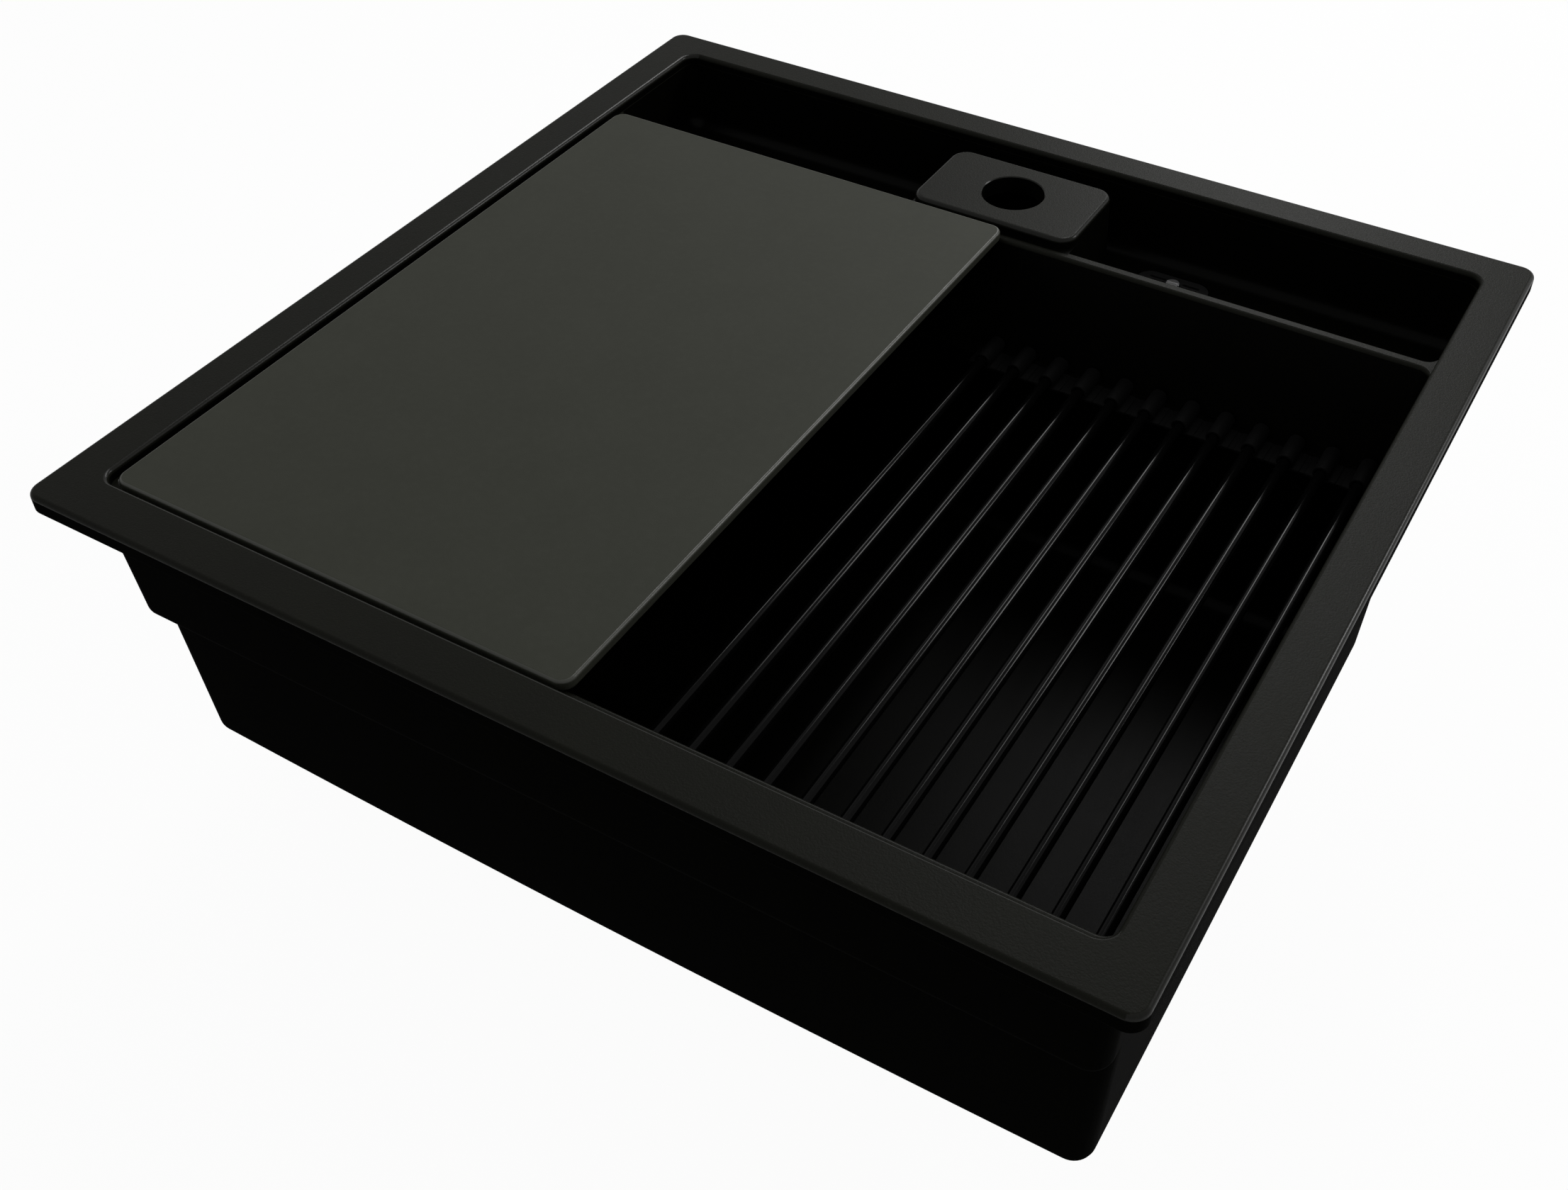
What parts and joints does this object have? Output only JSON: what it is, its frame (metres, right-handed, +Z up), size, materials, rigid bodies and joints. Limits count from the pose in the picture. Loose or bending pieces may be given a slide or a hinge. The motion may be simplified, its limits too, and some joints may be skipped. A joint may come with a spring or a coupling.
{
  "type": "workstation kitchen sink",
  "caption": "Inset kitchen sink with a deep bowl, rear tray and tap pad, a sliding cutting board, a roll-up draining mat, a basket strainer waste and a tray overflow.",
  "frame": {"origin": "centre of the worktop cut-out, on the worktop's top face, where the rim's seal rests", "axes": "+X to the right, +Y to the wall behind the sink, +Z up"},
  "size_m": [0.543, 0.524, 0.272],
  "materials": {
    "composite": "matte fine-grained black stone composite, slightly glossier inside the bowl",
    "board": "matte dark olive-grey compact laminate, fine mottling, rounded edges",
    "bar_steel": "satin black coated steel rod",
    "silicone": "matte black silicone",
    "rubber": "matte black rubber",
    "foam": "closed-cell sealing strip",
    "black_steel": "satin black coated stainless steel",
    "steel": "plain stainless steel",
    "pipe_plastic": "moulded black polypropylene",
    "hose_plastic": "ribbed grey polypropylene hose"
  },
  "bodies": {
    "sink": {"sink_body": "composite", "rim_seal": "foam", "flange_gasket": "rubber", "strainer_cup": "black_steel", "waste_screw": "steel", "lower_gasket": "rubber", "waste_body": "pipe_plastic", "overflow_cover": "black_steel", "overflow_screw": "steel", "overflow_seal": "rubber", "overflow_elbow": "pipe_plastic", "overflow_hose": "hose_plastic", "hose_nut_upper": "pipe_plastic", "hose_nut_lower": "pipe_plastic"},
    "board": {"cutting_board": "board"},
    "strainer_basket": {"basket": "black_steel", "basket_seal": "rubber", "basket_knob": "black_steel"},
    "mat_01": {"mat_bar_01": "bar_steel", "mat_grips_01": "silicone"},
    "mat_02": {"mat_bar_02": "bar_steel", "mat_grips_02": "silicone"},
    "mat_03": {"mat_bar_03": "bar_steel", "mat_grips_03": "silicone"},
    "mat_04": {"mat_bar_04": "bar_steel", "mat_grips_04": "silicone"},
    "mat_05": {"mat_bar_05": "bar_steel", "mat_grips_05": "silicone"},
    "mat_06": {"mat_bar_06": "bar_steel", "mat_grips_06": "silicone"},
    "mat_07": {"mat_bar_07": "bar_steel", "mat_grips_07": "silicone"},
    "mat_08": {"mat_bar_08": "bar_steel", "mat_grips_08": "silicone"},
    "mat_09": {"mat_bar_09": "bar_steel", "mat_grips_09": "silicone"},
    "mat_10": {"mat_bar_10": "bar_steel", "mat_grips_10": "silicone"},
    "mat_11": {"mat_bar_11": "bar_steel", "mat_grips_11": "silicone"},
    "mat_12": {"mat_bar_12": "bar_steel", "mat_grips_12": "silicone"}
  },
  "joints": [
    {"name": "board_slide", "type": "slide", "parent": "sink", "child": "board", "axis": [1, 0, 0], "range_m": [-0.0045, 0.236]},
    {"name": "basket_lift", "type": "slide", "parent": "sink", "child": "strainer_basket", "axis": [0, 0, 1], "range_m": [0, 0.09]},
    {"name": "mat_lift", "type": "slide", "parent": "sink", "child": "mat_09", "axis": [0, 0, 1], "range_m": [0, 0.11]},
    {"name": "mat_roll", "type": "hinge", "parent": "mat_09", "child": "mat_08", "pos_m": [0.16582, 0, -0.0526], "axis": [0, 1, 0], "range_deg": [0, 40]},
    {"name": "mat_roll_07", "type": "hinge", "parent": "mat_08", "child": "mat_07", "pos_m": [0.14662, 0, -0.0526], "axis": [0, 1, 0], "range_deg": [0, 43.5]},
    {"name": "mat_roll_06", "type": "hinge", "parent": "mat_07", "child": "mat_06", "pos_m": [0.12742, 0, -0.0526], "axis": [0, 1, 0], "range_deg": [0, 46.5]},
    {"name": "mat_roll_05", "type": "hinge", "parent": "mat_06", "child": "mat_05", "pos_m": [0.10822, 0, -0.0526], "axis": [0, 1, 0], "range_deg": [0, 49.5]},
    {"name": "mat_roll_04", "type": "hinge", "parent": "mat_05", "child": "mat_04", "pos_m": [0.08902, 0, -0.0526], "axis": [0, 1, 0], "range_deg": [0, 53.5]},
    {"name": "mat_roll_03", "type": "hinge", "parent": "mat_04", "child": "mat_03", "pos_m": [0.06982, 0, -0.0526], "axis": [0, 1, 0], "range_deg": [0, 58.5]},
    {"name": "mat_roll_02", "type": "hinge", "parent": "mat_03", "child": "mat_02", "pos_m": [0.05062, 0, -0.0526], "axis": [0, 1, 0], "range_deg": [0, 65.5]},
    {"name": "mat_roll_01", "type": "hinge", "parent": "mat_02", "child": "mat_01", "pos_m": [0.03142, 0, -0.0526], "axis": [0, 1, 0], "range_deg": [0, 73.5]},
    {"name": "mat_roll_10", "type": "hinge", "parent": "mat_09", "child": "mat_10", "pos_m": [0.18502, 0, -0.0526], "axis": [0, -1, 0], "range_deg": [0, 38.5]},
    {"name": "mat_roll_11", "type": "hinge", "parent": "mat_10", "child": "mat_11", "pos_m": [0.20422, 0, -0.0526], "axis": [0, -1, 0], "range_deg": [0, 36.5]},
    {"name": "mat_roll_12", "type": "hinge", "parent": "mat_11", "child": "mat_12", "pos_m": [0.22342, 0, -0.0526], "axis": [0, -1, 0], "range_deg": [0, 34.5]}
  ],
  "couplings": [
    {"joint": "mat_roll_07", "follows": "mat_roll", "ratio": 1.075},
    {"joint": "mat_roll_06", "follows": "mat_roll", "ratio": 1.15},
    {"joint": "mat_roll_05", "follows": "mat_roll", "ratio": 1.225},
    {"joint": "mat_roll_04", "follows": "mat_roll", "ratio": 1.325},
    {"joint": "mat_roll_03", "follows": "mat_roll", "ratio": 1.45},
    {"joint": "mat_roll_02", "follows": "mat_roll", "ratio": 1.625},
    {"joint": "mat_roll_01", "follows": "mat_roll", "ratio": 1.825},
    {"joint": "mat_roll_10", "follows": "mat_roll", "ratio": 0.95},
    {"joint": "mat_roll_11", "follows": "mat_roll", "ratio": 0.9},
    {"joint": "mat_roll_12", "follows": "mat_roll", "ratio": 0.85}
  ]
}
